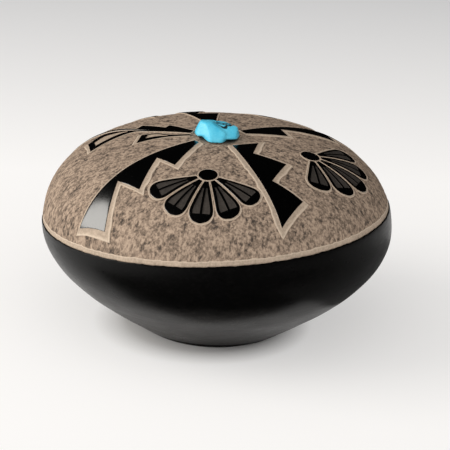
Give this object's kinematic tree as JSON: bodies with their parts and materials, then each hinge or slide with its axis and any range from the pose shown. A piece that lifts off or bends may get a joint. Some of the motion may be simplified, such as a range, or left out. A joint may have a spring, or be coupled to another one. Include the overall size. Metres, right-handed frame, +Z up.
{
  "type": "pueblo pottery seed pot",
  "caption": "Low round seed pot in polished black slip, its dome carved down to tan clay around stepped rays, feather fans and feathers, with a turquoise nugget closing the mouth.",
  "frame": {"origin": "middle of the flat foot, on the surface that the pot stands on", "axes": "+Z up through the crown, -Y towards the front of the pot, +X to its right"},
  "size_m": [0.076, 0.076, 0.0461],
  "materials": {
    "fired_clay": "scraped and stippled tan clay",
    "polished_slip": "stone-burnished black slip",
    "adhesive": "dark set adhesive",
    "turquoise": "tumbled turquoise with dark matrix"
  },
  "bodies": {
    "root": {"vessel": "fired_clay", "base_slip": "polished_slip", "ray_1": "polished_slip", "ray_2": "polished_slip", "ray_3": "polished_slip", "ray_4": "polished_slip", "ray_5": "polished_slip", "fan_1": "polished_slip", "fan_2": "polished_slip", "fan_3": "polished_slip", "long_feather_1": "polished_slip", "long_feather_2": "polished_slip", "short_feather": "polished_slip", "setting_bed": "adhesive", "turquoise": "turquoise"}
  },
  "joints": []
}
